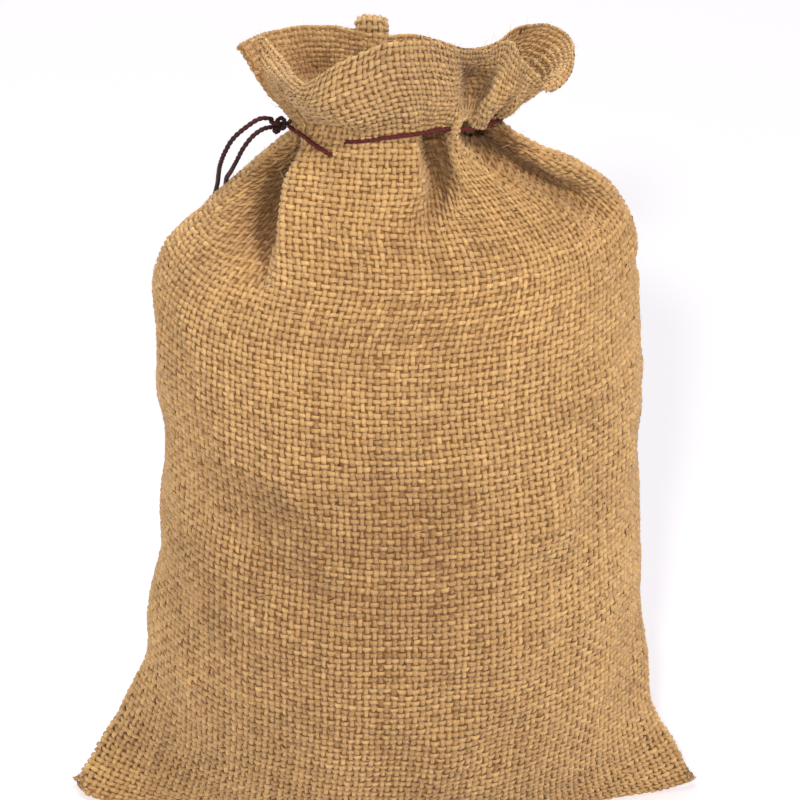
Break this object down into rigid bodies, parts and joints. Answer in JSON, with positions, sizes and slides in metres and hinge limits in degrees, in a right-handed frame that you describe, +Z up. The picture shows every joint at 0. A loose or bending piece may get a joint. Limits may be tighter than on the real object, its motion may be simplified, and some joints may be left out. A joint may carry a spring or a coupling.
{
  "type": "filled hessian sack with drawstring",
  "caption": "Small filled sack of woven jute hessian standing on its base, its mouth gathered and ruffled above a dark cord that is knotted at the side with its free ends hanging.",
  "frame": {"origin": "middle of the flat base that the sack stands on", "axes": "+Z up towards the gathered mouth, -Y out of the front panel, +X to the right of the front panel, along the bottom seam"},
  "size_m": [0.202, 0.103, 0.2698],
  "materials": {
    "hessian": "matte open plain weave",
    "dark_cord": "matte twisted cord"
  },
  "bodies": {
    "root": {"sack": "hessian", "drawstring_loop": "dark_cord", "drawstring_knot": "dark_cord", "drawstring_end_outer": "dark_cord", "drawstring_end_inner": "dark_cord"}
  },
  "joints": []
}
